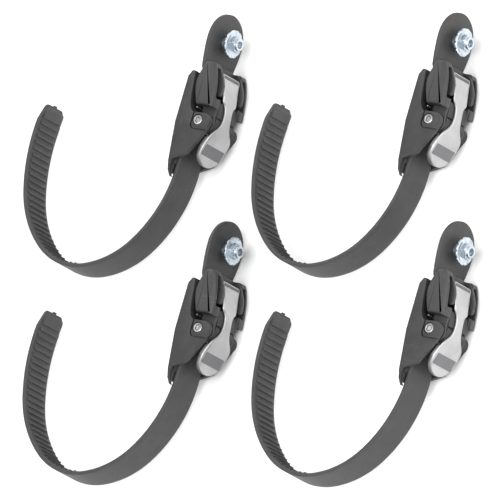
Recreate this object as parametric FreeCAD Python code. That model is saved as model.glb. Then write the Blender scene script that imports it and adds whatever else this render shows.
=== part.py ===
import FreeCAD, Part
import math
import os

V = FreeCAD.Vector

# Set of four wheel straps with ratchet buckles, each standing on its edge (millimetres).
# Each strap has its own local frame: x points out of the strap's outer face at the buckle,
# y runs along the strap towards the bolt, z runs across the strap.
strap_spots = [(0.0, 0.0), (184.0, 24.2), (48.4, -140.2), (232.4, -116.0)]
floor_height = 20.5

# moulded strap
band_width = 25.0
band_thick = 2.5
band_half = band_width / 2
curve_start = -30.0
curve_arcs = [(90, 38), (65, 35), (48, 54), (75, 35), (130, 28)]
tongue_radius = 19.3
tongue_waist = 32.8
tongue_waist_y = 41.0
tongue_neck_y = 34.5
bolt_y = 60.8
bush_hole_radius = 4.7
tooth_pitch = 4.6
tooth_count = 29
tooth_height = 1.4
tooth_half = 10.0
plain_tip = 10.0
tip_taper = 12.0
tip_width = 19.5
nib_width = 3.0

# buckle frame
channel_half = 13.0
frame_half = 20.5
floor_back = -6.4
pivot = (10.0, 1.5)
ear_round = 5.6
ear_middle_y = 1.0
ear_near_x = 15.0
ear_far_x = 10.0
boss_radius = 7.4
wall_thick = 2.9
lean_start = -2.0
lean_slope = 0.1735
pivot_bore = 2.05
screw_radius = 2.0
screw_head_radius = 3.5
head_seat = 16.6
head_face = 20.2
socket_flats = 4.2
pivot_nut_flats = 7.0
ear_corner = (6.2, -4.4)
ear_groove = 1.1
rivet_spots = [(20.0, -6.0), (20.0, 6.0), (-22.0, -6.0), (-22.0, 6.0)]
rivet_radius = 2.0
rivet_head_radius = 3.4

# two-wing handle and its pawl
pawl_pivot = (5.8, -1.9)
pawl_half = 6.9
trunnion_radius = 1.1
wing_in = 13.9
wing_out = 20.2
arm_in = 10.7
arm_out = 12.7
arm_front_radius = 8.0
horn_out = 13.2
slot_out = 17.0
bar_low = 38.7
bar_high = 42.7
wing_top = 43.0

# steel lever plate
plate_thick = 1.8
head_half = 10.2
neck_half = 4.1
paddle_half = 12.7
head_top = 38.0
paddle_end = -25.8
rim_depth = 4.0
rim_thick = 1.2
rim_top = -6.6
band_low = -19.4
band_high = -11.8
band_edge = 10.9
shoulder_half = 10.4
block_half = 3.9
hook_half = 10.2

# tongue hardware
flange_radius = 9.6
flange_seat = 5.2
flange_thick = 1.6
nut_flats = 10.0
nut_top = 10.3
collar_top = 11.8
collar_radius = 4.2
collar_bore = 2.6
bolt_radius = 3.0
bolt_end = 8.6


def face_from(points):
    """closed flat face from points, given as (x, y) pairs at z = 0"""
    corners = [V(p[0], p[1], 0) for p in points]
    return Part.Face(Part.makePolygon(corners + [corners[0]]))


def slab(points, z0, z1):
    """plate with an x-y outline between two heights"""
    face = face_from(points)
    face.translate(V(0, 0, z0))
    return face.extrude(V(0, 0, z1 - z0))


def cross_slab(points, x0, x1):
    """plate with a z-y outline, given as (y, z) pairs, between two x values"""
    corners = [V(x0, p[0], p[1]) for p in points]
    face = Part.Face(Part.makePolygon(corners + [corners[0]]))
    return face.extrude(V(x1 - x0, 0, 0))


def rod_z(x, y, z0, z1, radius):
    """round bar across the strap"""
    return Part.makeCylinder(radius, z1 - z0, V(x, y, z0), V(0, 0, 1))


def rod_x(y, z, x0, x1, radius):
    """round bar out of the strap's face"""
    return Part.makeCylinder(radius, x1 - x0, V(x0, y, z), V(1, 0, 0))


def box(x0, x1, y0, y1, z0, z1):
    return Part.makeBox(x1 - x0, y1 - y0, z1 - z0, V(x0, y0, z0))


def round_edges(shape, radius, wanted):
    """fillet the edges whose middle point passes the test"""
    edges = [e for e in shape.Edges if wanted(e)]
    return shape.makeFillet(radius, edges)


def hexagon(flats, turn=0.0):
    reach = flats / math.sqrt(3)
    return [(reach * math.cos(math.radians(60 * i + turn)),
             reach * math.sin(math.radians(60 * i + turn))) for i in range(6)]


# The loop is a chain of tangent arcs that all turn towards -x.
def path_point(distance, inward):
    """point at a distance along the loop, set back towards the inside of the loop"""
    x = 0.0
    y = curve_start
    heading = -90.0
    left = distance
    for radius, turn in curve_arcs:
        length = radius * math.radians(turn)
        swing = min(left, length) / radius
        a = math.radians(heading)
        centre_x = x + radius * math.sin(a)
        centre_y = y - radius * math.cos(a)
        b = a - swing
        x = centre_x - radius * math.sin(b)
        y = centre_y + radius * math.cos(b)
        heading = math.degrees(b)
        left = left - length
        if left <= 0:
            break
    b = math.radians(heading)
    return V(x + inward * math.sin(b), y - inward * math.cos(b), 0)


def loop_length():
    """length of the curved part, from the buckle to the tip"""
    return sum(radius * math.radians(turn) for radius, turn in curve_arcs)


def loop_edges(inward):
    """arcs of the loop at one depth, from the straight part to the tip"""
    edges = []
    start = 0.0
    for radius, turn in curve_arcs:
        length = radius * math.radians(turn)
        edges.append(Part.Arc(path_point(start, inward), path_point(start + length / 2, inward),
                              path_point(start + length, inward)).toShape())
        start = start + length
    return edges


def tooth_rack():
    """saw teeth on the inner face, steep sides facing back to the buckle"""
    total = loop_length()
    face_depth = band_thick
    crest_depth = band_thick + tooth_height
    points = []
    top = total - plain_tip
    points.append(path_point(total - 1.5, face_depth - 0.4))
    points.append(path_point(total - 1.5, face_depth + 0.1))
    points.append(path_point(total - 3.0, crest_depth - 0.1))
    for i in range(tooth_count):
        steep = top - i * tooth_pitch
        points.append(path_point(steep, crest_depth))
        points.append(path_point(steep - 0.3, face_depth + 0.05))
        points.append(path_point(steep - 1.5, face_depth + 0.05))
    last = top - tooth_count * tooth_pitch
    points.append(path_point(last, face_depth - 0.4))
    for i in range(1, 40):
        points.append(path_point(last + i * (total - 1.5 - last) / 40, face_depth - 0.4))
    face = Part.Face(Part.makePolygon(points + [points[0]]))
    face.translate(V(0, 0, -tooth_half))
    return face.extrude(V(0, 0, 2 * tooth_half))


def tip_trim():
    """corner pieces taken off the ladder's narrowing tip"""
    total = loop_length()
    shoulder = path_point(total - tip_taper, 0)
    end = path_point(total, 0)
    along = end - shoulder
    along.normalize()
    side = V(along.y, -along.x, 0)
    cuts = []
    for s in (1, -1):
        corners = [shoulder + V(0, 0, s * band_half),
                   shoulder + along * 9.5 + V(0, 0, s * (tip_width / 2 + 0.6)),
                   shoulder + along * 12.2 + V(0, 0, s * (tip_width / 2 - 2.4)),
                   shoulder + along * 14 + V(0, 0, s * (tip_width / 2 - 2.4)),
                   shoulder + along * 14 + V(0, 0, s * (band_half + 3)),
                   shoulder + V(0, 0, s * (band_half + 3))]
        corners = [c - side * 8 for c in corners]
        face = Part.Face(Part.makePolygon(corners + [corners[0]]))
        cuts.append(face.extrude(side * 20))
    return cuts


def strap_band():
    outer = loop_edges(0.0)
    inner = loop_edges(band_thick)
    total = loop_length()
    wire = Part.Wire(outer + [Part.makeLine(path_point(total, 0), path_point(total, band_thick))]
                     + [e for e in reversed(inner)]
                     + [Part.makeLine(path_point(0, band_thick), path_point(0, 0))])
    curved = Part.Face(wire)
    curved.translate(V(0, 0, -band_half))
    curved = curved.extrude(V(0, 0, band_width))
    straight = box(-band_thick, 0, curve_start, tongue_neck_y, -band_half, band_half)
    waist = tongue_waist / 2
    flare = cross_slab([(tongue_neck_y, -band_half), (tongue_waist_y, -waist), (bolt_y, -tongue_radius),
                        (bolt_y, tongue_radius), (tongue_waist_y, waist), (tongue_neck_y, band_half)],
                       -band_thick, 0)
    dome = rod_x(bolt_y, 0, -band_thick, 0, tongue_radius)
    body = straight.fuse([flare, dome, curved, tooth_rack()]).removeSplitter()
    body = body.cut(tip_trim())
    end = path_point(total, band_thick / 2)
    nib = box(-0.9, 0.9, -0.5, 1.3, -nib_width / 2, nib_width / 2)
    nib.rotate(V(0, 0, 0), V(0, 0, 1), -11)
    nib.translate(end)
    body = body.fuse(nib)
    body = body.cut(rod_x(bolt_y, 0, -band_thick - 1, 1, bush_hole_radius))
    for y, z in rivet_spots:
        body = body.cut(rod_x(y, z, -band_thick - 1, 1, rivet_radius))
    return body


def arc_points(centre, radius, first, last, steps):
    """points on a circle, angles in degrees"""
    turns = [math.radians(first + i * (last - first) / steps) for i in range(steps + 1)]
    return [(centre[0] + radius * math.cos(a), centre[1] + radius * math.sin(a)) for a in turns]


def cheek_outline(ear_x):
    """side wall: long back edge, flat-topped ear about the pivot, sloping front and a narrow tail"""
    back_top = [(-7.4, 30.5), (-5.0, 34.6), (-2.8, 34.6), (-1.7, 27.0), (-0.7, 19.0), (0.6, 12.4), (2.0, 9.0)]
    ear = [(4.4, ear_middle_y + ear_round)] + arc_points((ear_x, ear_middle_y), ear_round, 90, -40, 9)
    front = [(ear_x + 2.5, -6.8), (6.3, -21.5), (1.2, -24.2), (-4.4, -26.8)]
    tail = [(-5.1, -31.0), (-4.3, -35.0), (-2.2, -38.6), (-4.2, -38.2), (-6.4, -34.0), (-7.4, -28.0)]
    return back_top + ear + front + tail


def wall_outer(y):
    """where the wall's outer face stands: upright above, leaning in towards the tail"""
    return frame_half - max(lean_start - y, 0) * lean_slope


def corner_plate(x0, y0, radius, z0, z1):
    """plate that fills everything ahead of and above one rounded corner"""
    shape = box(x0, 40, y0, 40, z0, z1)
    return round_edges(shape, radius, lambda e: e.BoundBox.XMax < x0 + 0.01 and e.BoundBox.YMax < y0 + 0.01)


def cheek(ear_x):
    """side wall, hollow behind its outer face but solid round the pivot and along its back"""
    wall = slab(cheek_outline(ear_x), channel_half, frame_half)
    lean_low = -45.0
    leant_off = [(lean_start, frame_half), (lean_low, wall_outer(lean_low)), (lean_low, 30), (lean_start, 30)]
    wall = wall.cut(cross_slab(leant_off, -20, 30))
    inner = frame_half - wall_thick
    fold = -6.0
    foot = -29.0
    under = 12.0
    fold_inner = wall_outer(fold) - wall_thick
    foot_inner = wall_outer(foot) - wall_thick
    upper = cross_slab([(14, under), (14, inner), (lean_start, inner), (fold, fold_inner), (fold, under)],
                       3.2, 30)
    lower = cross_slab([(fold, under), (fold, fold_inner), (foot, foot_inner), (foot, under)], -2.2, 30)
    hollow = upper.fuse(lower).cut(rod_z(pivot[0], pivot[1], under - 2, 30, boss_radius))
    return wall.cut(hollow)


def near_cheek():
    """wall on the screw's side: its ear is marked off by a groove"""
    px, py = pivot
    wall = cheek(ear_near_x)
    ex, ey = ear_corner
    groove = corner_plate(ex - ear_groove, ey - ear_groove, 3.8, frame_half - 1.6, frame_half + 1)
    groove = groove.cut(corner_plate(ex, ey, 2.7, frame_half - 2, frame_half + 2))
    wall = wall.cut(groove)
    return wall.cut(rod_z(px, py, head_seat, frame_half + 1, screw_head_radius + 0.3))


def far_cheek():
    """wall on the nut's side: its ear is shorter, with a pocket for the nut"""
    px, py = pivot
    pocket = slab([(px + p[0], py + p[1]) for p in hexagon(pivot_nut_flats + 0.1)], head_seat, frame_half + 1)
    return cheek(ear_far_x).cut(pocket).mirror(V(0, 0, 0), V(0, 0, 1))


def buckle_frame():
    px, py = pivot
    floor = box(floor_back, -band_thick, -29, 33, -channel_half, channel_half)
    # closes the gap between the tails of the two walls
    apron = box(floor_back, -3.4, -35.5, -29, -13.4, 13.4)
    body = near_cheek().fuse([far_cheek(), floor, apron]).removeSplitter()
    body = body.cut(rod_z(px, py, -30, 30, pivot_bore))
    for y, z in rivet_spots:
        body = body.cut(rod_x(y, z, floor_back - 1, 0, rivet_radius))
    return body


def frame_rivets():
    """four flush rivets holding the strap down on the frame's floor"""
    made = []
    for y, z in rivet_spots:
        shank = rod_x(y, z, floor_back, 0, rivet_radius)
        head = rod_x(y, z, floor_back - 0.9, floor_back, rivet_head_radius)
        made.append(shank.fuse(head).removeSplitter())
    return Part.makeCompound(made)


def pivot_screw():
    px, py = pivot
    head = rod_z(px, py, head_seat, head_face, screw_head_radius)
    head = round_edges(head, 0.4, lambda e: e.Curve.TypeId == "Part::GeomCircle"
                       and abs(e.Vertexes[0].Z - head_face) < 0.01)
    shank = rod_z(px, py, -19.6, head_seat, screw_radius)
    socket = slab([(px + p[0], py + p[1]) for p in hexagon(socket_flats)], 18.0, 21)
    return head.fuse(shank).removeSplitter().cut(socket)


def pivot_nut():
    px, py = pivot
    nut = slab([(px + p[0], py + p[1]) for p in hexagon(pivot_nut_flats)], -19.8, -head_seat)
    return nut.cut(rod_z(px, py, -25, 0, screw_radius))


def wing_outline(front):
    """side view of a wing; front moves the front edge outwards"""
    f = front
    return [(4.1, 12.2), (0.7, 20.0), (-0.7, 25.0), (-1.0, 29.0), (0.0, 34.0), (2.0, 40.4), (3.4, wing_top),
            (9.6 + f, wing_top), (11.4 + f, 39.5),
            (13.2 + f, 34.5), (14.6 + f, 29.0), (15.8 + f, 22.5), (16.6 + f, 16.5), (17.0 + f, 11.6),
            (13.2, 12.4), (7.0, 12.4)]


def wing():
    """wing with a front face that rises towards the middle of the buckle"""
    sections = []
    for z, front in ((wing_in, 1.5), (wing_out - 2.2, 0.7), (wing_out, -1.3)):
        corners = [V(p[0], p[1], z) for p in wing_outline(front)]
        sections.append(Part.makePolygon(corners + [corners[0]]))
    return Part.makeLoft(sections, True, True)


def arm():
    """inner plate: round about the pivot, ending in a horn that stands free beside the lever's head"""
    front = arc_points(pivot, arm_front_radius, -75, 25, 4)
    lower = slab([(6.4, 2.0)] + front + [(17.4, 10.8), (17.6, 19.0), (5.4, 19.0)], arm_in, arm_out)
    upper = slab([(5.5, 18.9), (17.6, 18.9), (18.3, 22.5), (17.6, 28.6), (16.0, 32.6), (12.5, 38.6),
                  (9.0, 42.6), (3.4, 42.5), (3.4, 38.0), (5.2, 25.0)], arm_in, horn_out)
    notch = slab([(19.0, 21.4), (15.6, 20.8), (13.9, 22.4), (12.9, 21.4), (13.6, 19.6), (19.0, 18.6)],
                 arm_in - 1, horn_out + 1)
    hub = rod_z(pivot[0], pivot[1], arm_in, arm_out, 5.0)
    return upper.cut(notch).fuse([lower, hub, rod_z(pawl_pivot[0], pawl_pivot[1], arm_in, arm_out, 2.3)])


def handle():
    px, py = pivot
    web = slab([(4.6, 14.2), (7.0, 12.8), (17.0, 12.6), (17.2, 18.0), (9.5, 20.5), (9.5, 38.0), (10.4, 40.5),
                (8.0, 42.0), (4.6, 42.0), (3.4, 30.0)], arm_out - 0.2, wing_in + 0.2)
    slot = slab([(9.5, 20.5), (30.0, 18.4), (30.0, 34.0), (10.8, 39.5), (9.5, 38.0)], horn_out, slot_out)
    side = wing().fuse(web).cut(slot).fuse(arm())
    bar = slab([(3.6, bar_low), (6.8, bar_low), (6.8, bar_high - 0.8), (6.0, bar_high), (3.6, bar_high)],
               -wing_in - 0.2, wing_in + 0.2)
    body = side.fuse([side.mirror(V(0, 0, 0), V(0, 0, 1)), bar]).removeSplitter()
    body = body.cut(rod_z(px, py, -30, 30, pivot_bore))
    return body.cut(rod_z(pawl_pivot[0], pawl_pivot[1], -arm_out - 1, arm_out + 1, trunnion_radius + 0.05))


def plate_curve(shift):
    points = [(12.9, head_top), (16.6, 25.0), (18.9, 14.0), (19.6, 3.0), (18.4, -6.0), (16.2, -12.5),
              (13.8, -19.5), (12.7, paddle_end)]
    curve = Part.BSplineCurve()
    curve.interpolate([V(p[0] + shift, p[1], 0) for p in points])
    return curve.toShape()


def curve_slab(low, high, half):
    """sheet between two shifts of the lever's side curve"""
    a = plate_curve(low)
    b = plate_curve(high)
    wire = Part.Wire([a, Part.makeLine(a.Vertexes[-1].Point, b.Vertexes[-1].Point), b,
                      Part.makeLine(b.Vertexes[0].Point, a.Vertexes[0].Point)])
    face = Part.Face(wire)
    face.translate(V(0, 0, -half))
    return face.extrude(V(0, 0, 2 * half))


def lever_face(inset):
    """front view: head that narrows to a shoulder, thin neck and a broad round paddle, less an inset"""
    head = [(12.0, neck_half), (15.2, neck_half + 0.4), (17.0, neck_half + 1.4), (18.4, 7.0), (19.8, 7.8),
            (27.0, 8.6), (head_top - 2.0, head_half), (head_top - 0.4, head_half), (head_top, head_half - 0.4)]
    side = [(12.0, neck_half), (6.0, neck_half + 0.4), (0.0, 7.2), (-4.5, 11.2), (-8.5, paddle_half - 0.2),
            (-13.5, paddle_half), (-19.5, 11.2), (-23.6, 7.6)]
    curve = Part.BSplineCurve()
    right_side = [V(0, y, z - inset) for y, z in side]
    left_side = [V(0, y, inset - z) for y, z in reversed(side)]
    curve.interpolate(right_side + [V(0, paddle_end + inset, 0)] + left_side)
    corners = [V(0, y, inset - z) for y, z in head] + [V(0, y, z - inset) for y, z in reversed(head)]
    return Part.Face(Part.Wire([curve.toShape()] + Part.makePolygon(corners).Edges))


def lever_plate():
    sheet = curve_slab(-plate_thick, 0.0, paddle_half + 1)
    lip = box(9.0, 12.6, head_top - 1.7, head_top, -paddle_half, paddle_half)
    outline = lever_face(0.0)
    sheet = sheet.fuse(lip).removeSplitter().common(outline.extrude(V(30, 0, 0)))
    # the paddle's edge is turned in all round
    rim = curve_slab(-rim_depth, -0.5, paddle_half + 1).common(outline.extrude(V(30, 0, 0)))
    rim = rim.cut(lever_face(rim_thick).extrude(V(30, 0, 0)))
    rim = rim.common(box(0, 30, paddle_end - 1, rim_top, -paddle_half - 1, paddle_half + 1))
    return sheet.fuse(rim).removeSplitter()


def lever_core():
    """hub on the pivot screw, block and round shoulders under the plate, and the hooked holding pawl"""
    px, py = pivot
    hub = rod_z(px, py, -7.0, 7.0, 3.3)
    block = slab([(10.0, -1.6), (14.0, -8.0), (22.0, -8.0), (22.0, 14.6), (15.0, 15.5), (10.4, 15.5),
                  (10.4, 4.0)], -block_half, block_half)
    hook = slab([(15.2, 11.6), (15.2, 15.5), (6.0, 16.0), (2.9, 15.4), (3.1, 14.2), (6.0, 11.8)],
                -hook_half, hook_half)
    shoulder = slab(arc_points(pivot, 8.4, -58, 40, 8) + [(22.0, 7.0), (22.0, 17.4), (14.6, 17.4), (13.8, 12.0)]
                    + arc_points(pivot, 5.3, 70, -58, 8), -shoulder_half, shoulder_half)
    body = hub.fuse([block, hook, shoulder])
    beyond = curve_slab(-plate_thick, 20.0, 20.0)
    body = body.cut(beyond).removeSplitter()
    return body.cut(rod_z(px, py, -12, 12, pivot_bore))


def grip_band():
    band = curve_slab(0.0, 0.3, paddle_half)
    return band.common(box(5, 30, band_low, band_high, -band_edge, band_edge))


def drive_pawl():
    """pawl with moulded trunnions that turn in the handle's arms"""
    ax, ay = pawl_pivot
    body = rod_z(ax, ay, -pawl_half, pawl_half, 1.9)
    finger = slab([(3.95, ay), (5.6, -0.1), (4.6, 3.6), (3.1, 4.4), (2.8, 3.4)], -pawl_half, pawl_half)
    trunnion = rod_z(ax, ay, -12.6, 12.6, trunnion_radius)
    return body.fuse([finger, trunnion]).removeSplitter()


def handle_spring():
    """coil about the pivot with a leg that runs out under the near wing"""
    px, py = pivot
    wire_radius = 0.4
    mean = 3.3
    # the turns are one plain sleeve here
    coil = rod_z(px, py, 7.1, 9.7, mean + wire_radius).cut(rod_z(px, py, 7, 10, mean - wire_radius))
    # the leg lies on the last turn, runs outwards, bends and goes under the wing
    leg_z = 10.12
    reach = 10.6
    bend = 1.2
    end_z = 17.5
    a = math.radians(120)
    out = V(math.cos(a), math.sin(a), 0)
    base = V(px, py, leg_z)
    start = base + out * mean
    turn_in = base + out * (reach - bend)
    short = bend * (1 - math.cos(math.radians(45)))
    turn_mid = base + out * (reach - short) + V(0, 0, short)
    turn_out = base + out * reach + V(0, 0, bend)
    end = V(turn_out.x, turn_out.y, end_z)
    path = Part.Wire([Part.makeLine(start, turn_in), Part.Arc(turn_in, turn_mid, turn_out).toShape(),
                      Part.makeLine(turn_out, end)])
    leg_ring = Part.Wire([Part.makeCircle(wire_radius, start, out)])
    leg = path.makePipeShell([leg_ring], True, True)
    return Part.makeCompound([coil, leg])


def mount_bolt():
    head = cross_slab([(bolt_y + p[0], p[1]) for p in hexagon(nut_flats)], -band_thick - 4.0, -band_thick)
    return head.fuse(rod_x(bolt_y, 0, -band_thick, bolt_end, bolt_radius)).removeSplitter()


def flanged_bush():
    """sleeve through the strap with a notched flange standing clear of the face"""
    flange = rod_x(bolt_y, 0, flange_seat, flange_seat + flange_thick, flange_radius)
    sleeve = rod_x(bolt_y, 0, -band_thick, flange_seat, bush_hole_radius - 0.05)
    body = flange.fuse(sleeve).removeSplitter()
    for i in range(12):
        a = math.radians(i * 30 + 15)
        body = body.cut(rod_x(bolt_y + (flange_radius + 0.2) * math.cos(a), (flange_radius + 0.2) * math.sin(a),
                              flange_seat - 1, flange_seat + 3, 0.8))
    return body.cut(rod_x(bolt_y, 0, -10, 10, bolt_radius))


def flange_nut():
    seat = flange_seat + flange_thick
    body = cross_slab([(bolt_y + p[0], p[1]) for p in hexagon(nut_flats)], seat, nut_top)
    body = body.fuse(rod_x(bolt_y, 0, nut_top, collar_top, collar_radius)).removeSplitter()
    body = body.cut(rod_x(bolt_y, 0, 0, bolt_end, bolt_radius))
    return body.cut(rod_x(bolt_y, 0, bolt_end - 0.6, collar_top + 1, collar_bore))


pieces = {
    "strap_band": strap_band(),
    "buckle_frame": buckle_frame(),
    "frame_rivets": frame_rivets(),
    "pivot_screw": pivot_screw(),
    "pivot_nut": pivot_nut(),
    "handle": handle(),
    "lever_plate": lever_plate(),
    "lever_core": lever_core(),
    "grip_band": grip_band(),
    "drive_pawl": drive_pawl(),
    "handle_spring": handle_spring(),
    "mount_bolt": mount_bolt(),
    "flanged_bush": flanged_bush(),
    "flange_nut": flange_nut(),
}

# the set stands with its middle over the origin
band_box = pieces["strap_band"].BoundBox
x_low = min(spot[0] for spot in strap_spots) + band_box.XMin
x_high = max(spot[0] for spot in strap_spots) + max(shape.BoundBox.XMax for shape in pieces.values())
y_low = min(spot[1] for spot in strap_spots) + band_box.YMin
y_high = max(spot[1] for spot in strap_spots) + band_box.YMax
set_centre = ((x_low + x_high) / 2, (y_low + y_high) / 2)

os.makedirs("parts", exist_ok=True)
for number, spot in enumerate(strap_spots):
    for name, shape in pieces.items():
        placed = shape.copy()
        placed.translate(V(spot[0] - set_centre[0], spot[1] - set_centre[1], floor_height))
        placed.exportStep("parts/strap_%d_%s.step" % (number + 1, name))
for name, shape in pieces.items():
    b = shape.BoundBox
    print(name, len(shape.Solids), shape.isValid(), "%.1f %.1f | %.1f %.1f | %.1f %.1f"
          % (b.XMin, b.XMax, b.YMin, b.YMax, b.ZMin, b.ZMax), "vol %.0f" % shape.Volume)
print("centre", set_centre)
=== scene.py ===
import bpy
import bmesh
import math
import numpy as np
from mathutils import Matrix, Vector


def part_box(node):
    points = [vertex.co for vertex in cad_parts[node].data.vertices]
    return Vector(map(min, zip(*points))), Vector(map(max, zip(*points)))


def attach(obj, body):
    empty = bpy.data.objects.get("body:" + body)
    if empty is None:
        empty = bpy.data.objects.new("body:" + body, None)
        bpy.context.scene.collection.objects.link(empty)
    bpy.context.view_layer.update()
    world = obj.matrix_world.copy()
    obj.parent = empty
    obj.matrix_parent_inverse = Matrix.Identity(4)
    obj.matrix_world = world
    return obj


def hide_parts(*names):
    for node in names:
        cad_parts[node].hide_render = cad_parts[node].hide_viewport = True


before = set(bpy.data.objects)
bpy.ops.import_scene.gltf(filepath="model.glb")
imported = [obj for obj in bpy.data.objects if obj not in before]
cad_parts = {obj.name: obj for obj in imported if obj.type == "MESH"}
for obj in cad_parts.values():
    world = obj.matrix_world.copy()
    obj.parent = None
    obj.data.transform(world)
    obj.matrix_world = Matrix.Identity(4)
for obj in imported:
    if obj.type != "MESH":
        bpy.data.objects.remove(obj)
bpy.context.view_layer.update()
print("frame loaded,", len(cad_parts), "CAD nodes")

straps = [1, 2, 3, 4]
mm = 0.001

# where each strap's own frame sits: x out of the strap face, y towards the bolt, z across the band
pivotPlace = {"x": 10.0, "y": 1.5}  # pivot screw in the strap's frame, mm
floorHeight = 20.5


def strapOrigin(number):
    low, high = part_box("strap_%d_pivot_screw" % number)
    middle = (low + high) / 2
    return np.array([middle.x - pivotPlace["x"] * mm, middle.y - pivotPlace["y"] * mm, floorHeight * mm])


origins = {number: strapOrigin(number) for number in straps}

# camera: a long lens from far off, rolled so that the straps stand upright in the frame
cameraValues = {
    "lens": 1400.0, "sensor": 36.0, "span": 0.3335,
    "target": (0.00394, -0.00386, 0.01989),
    "azimuth": 73.9, "elevation": 52.0, "roll": -61.0,
}


def makeCamera(values):
    camera = bpy.data.cameras.new("viewCamera")
    camera.lens = values["lens"]
    camera.sensor_width = values["sensor"]
    camera.clip_end = 100
    holder = bpy.data.objects.new("viewCamera", camera)
    bpy.context.scene.collection.objects.link(holder)
    turn = Matrix.Rotation(math.radians(values["azimuth"]), 4, "Z")
    turn = turn @ Matrix.Rotation(math.radians(90 - values["elevation"]), 4, "X")
    turn = turn @ Matrix.Rotation(math.radians(values["roll"]), 4, "Z")
    distance = values["lens"] / values["sensor"] * values["span"]
    back = turn.to_3x3() @ Vector((0, 0, 1))
    holder.matrix_world = Matrix.Translation(Vector(values["target"]) + back * distance) @ turn
    bpy.context.scene.camera = holder


makeCamera(cameraValues)

# lights: one broad soft source overhead, a softer one each side, and a pale surround
lightValues = {
    "key": {"place": (0.5, -0.3, 1.5), "aim": (0, 0, 0), "size": 1.2, "power": 22.0},
    "side": {"place": (1.4, 0.5, 0.7), "aim": (0, 0, 0), "size": 1.0, "power": 9.0},
    "back": {"place": (-1.0, 1.0, 0.9), "aim": (0, 0, 0), "size": 1.2, "power": 9.0},
    "surround": {"colour": (1.0, 1.0, 1.0, 1.0), "strength": 0.85},
}


def makeLights(values):
    for name in ("key", "side", "back"):
        entry = values[name]
        light = bpy.data.lights.new(name + "Light", "AREA")
        light.shape = "DISK"
        light.size = entry["size"]
        light.energy = entry["power"]
        holder = bpy.data.objects.new(name + "Light", light)
        bpy.context.scene.collection.objects.link(holder)
        holder.location = entry["place"]
        aim = Vector(entry["aim"]) - Vector(entry["place"])
        holder.rotation_euler = aim.to_track_quat("-Z", "Y").to_euler()
    world = bpy.data.worlds.new("surround")
    world.use_nodes = True
    background = world.node_tree.nodes["Background"]
    background.inputs["Color"].default_value = values["surround"]["colour"]
    background.inputs["Strength"].default_value = values["surround"]["strength"]
    bpy.context.scene.world = world
    bpy.context.scene.view_settings.view_transform = "Standard"


makeLights(lightValues)
print("camera and lights made")


# shader groups shared by the materials: each puts out masks or heights over the surface
def newGroup(name, inputs, outputs):
    group = bpy.data.node_groups.new(name, "ShaderNodeTree")
    for label, kind, value in inputs:
        socket = group.interface.new_socket(label, in_out="INPUT", socket_type=kind)
        socket.default_value = value
    for label, kind in outputs:
        group.interface.new_socket(label, in_out="OUTPUT", socket_type=kind)
    ends = group.nodes.new("NodeGroupInput"), group.nodes.new("NodeGroupOutput")
    return group, ends[0], ends[1]


def mathNode(tree, operation, first, second):
    node = tree.nodes.new("ShaderNodeMath")
    node.operation = operation
    for slotNumber, value in enumerate((first, second)):
        if isinstance(value, (int, float)):
            node.inputs[slotNumber].default_value = value
        else:
            tree.links.new(value, node.inputs[slotNumber])
    return node.outputs[0]


def rampNode(tree, source, low, high):
    node = tree.nodes.new("ShaderNodeMapRange")
    node.interpolation_type = "SMOOTHSTEP"
    tree.links.new(source, node.inputs["Value"])
    node.inputs["From Min"].default_value = low
    node.inputs["From Max"].default_value = high
    return node.outputs["Result"]


def noiseNode(tree, place, scale, detail=3.0, roughness=0.55):
    node = tree.nodes.new("ShaderNodeTexNoise")
    tree.links.new(place, node.inputs["Vector"])
    if isinstance(scale, (int, float)):
        node.inputs["Scale"].default_value = scale
    else:
        tree.links.new(scale, node.inputs["Scale"])
    node.inputs["Detail"].default_value = detail
    node.inputs["Roughness"].default_value = roughness
    return node.outputs["Fac"]


def objectPlace(tree, stretch=None):
    coordinate = tree.nodes.new("ShaderNodeTexCoord")
    if stretch is None:
        return coordinate.outputs["Object"]
    mapping = tree.nodes.new("ShaderNodeMapping")
    mapping.inputs["Scale"].default_value = stretch
    tree.links.new(coordinate.outputs["Object"], mapping.inputs["Vector"])
    return mapping.outputs["Vector"]


# spark-eroded mould skin: fine pebbles with a slower mottle
def makeMouldSkin():
    group, inward, outward = newGroup("mouldSkin", [("Fineness", "NodeSocketFloat", 2600.0),
                                                   ("Mottle Size", "NodeSocketFloat", 90.0)],
                                      [("Height", "NodeSocketFloat"), ("Mottle", "NodeSocketFloat"),
                                       ("Pits", "NodeSocketFloat")])
    place = objectPlace(group)
    fine = noiseNode(group, place, inward.outputs["Fineness"], 4.0, 0.6)
    coarse = noiseNode(group, place, mathNode(group, "MULTIPLY", inward.outputs["Fineness"], 0.35), 2.0)
    height = mathNode(group, "ADD", fine, mathNode(group, "MULTIPLY", coarse, 0.6))
    mottle = noiseNode(group, place, inward.outputs["Mottle Size"], 5.0, 0.6)
    group.links.new(height, outward.inputs["Height"])
    group.links.new(rampNode(group, mottle, 0.3, 0.72), outward.inputs["Mottle"])
    group.links.new(rampNode(group, fine, 0.42, 0.62), outward.inputs["Pits"])
    return group


# handling marks: long thin scratches from stretched noise, kept where a slow noise is high
def makeScuffs():
    group, inward, outward = newGroup("scuffs", [("Amount", "NodeSocketFloat", 0.5)],
                                      [("Mask", "NodeSocketFloat")])
    marks = []
    for stretch in ((60.0, 900.0, 300.0), (700.0, 80.0, 500.0)):
        line = noiseNode(group, objectPlace(group, stretch), 1.0, 2.0, 0.5)
        marks.append(rampNode(group, line, 0.63, 0.72))
    patch = rampNode(group, noiseNode(group, objectPlace(group), 45.0, 2.0), 0.45, 0.7)
    both = mathNode(group, "MAXIMUM", marks[0], marks[1])
    kept = mathNode(group, "MULTIPLY", both, patch)
    group.links.new(mathNode(group, "MULTIPLY", kept, inward.outputs["Amount"]), outward.inputs["Mask"])
    return group


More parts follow.
